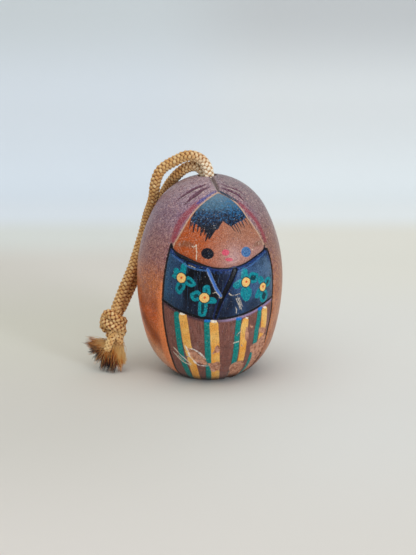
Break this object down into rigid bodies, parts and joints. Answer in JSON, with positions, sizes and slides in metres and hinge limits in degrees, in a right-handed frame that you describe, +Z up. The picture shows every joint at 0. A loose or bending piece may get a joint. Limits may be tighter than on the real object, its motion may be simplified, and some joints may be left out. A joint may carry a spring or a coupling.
{
  "type": "rattle doll",
  "caption": "Egg-shaped turned and painted wooden doll that rattles, hollow with loose balls inside, with a braided hanging cord through its crown.",
  "frame": {"origin": "centre of the base, on the surface that the doll stands on", "axes": "+Z up along the turned axis; the doll faces -Y and its right-hand side, as seen from the front, is +X"},
  "size_m": [0.069, 0.05, 0.0772],
  "materials": {
    "lacquered_wood": "satin lacquer over paint",
    "bare_wood": "matte",
    "braided_cord": "matte braid",
    "pellet": "matte"
  },
  "bodies": {
    "doll": {"body_shell": "lacquered_wood", "base_plug": "bare_wood", "toggle_peg": "bare_wood", "cord_bight": "braided_cord", "cord_leg_outer": "braided_cord", "cord_leg_inner": "braided_cord", "knot": "braided_cord", "frayed_end_side": "braided_cord", "frayed_end_floor": "braided_cord"},
    "pellet_centre": {"pellet_centre": "pellet"},
    "pellet_1": {"pellet_1": "pellet"},
    "pellet_2": {"pellet_2": "pellet"},
    "pellet_3": {"pellet_3": "pellet"},
    "pellet_4": {"pellet_4": "pellet"},
    "pellet_5": {"pellet_5": "pellet"},
    "pellet_6": {"pellet_6": "pellet"}
  },
  "joints": [
    {"name": "pellet_centre_hop", "type": "slide", "parent": "doll", "child": "pellet_centre", "axis": [0, 0, 1], "range_m": [0, 0.0385]},
    {"name": "pellet_1_hop", "type": "slide", "parent": "doll", "child": "pellet_1", "axis": [0, 0, 1], "range_m": [0, 0.043]},
    {"name": "pellet_2_hop", "type": "slide", "parent": "doll", "child": "pellet_2", "axis": [0, 0, 1], "range_m": [0, 0.043]},
    {"name": "pellet_3_hop", "type": "slide", "parent": "doll", "child": "pellet_3", "axis": [0, 0, 1], "range_m": [0, 0.0405]},
    {"name": "pellet_4_hop", "type": "slide", "parent": "doll", "child": "pellet_4", "axis": [0, 0, 1], "range_m": [0, 0.043]},
    {"name": "pellet_5_hop", "type": "slide", "parent": "doll", "child": "pellet_5", "axis": [0, 0, 1], "range_m": [0, 0.043]},
    {"name": "pellet_6_hop", "type": "slide", "parent": "doll", "child": "pellet_6", "axis": [0, 0, 1], "range_m": [0, 0.0405]}
  ]
}
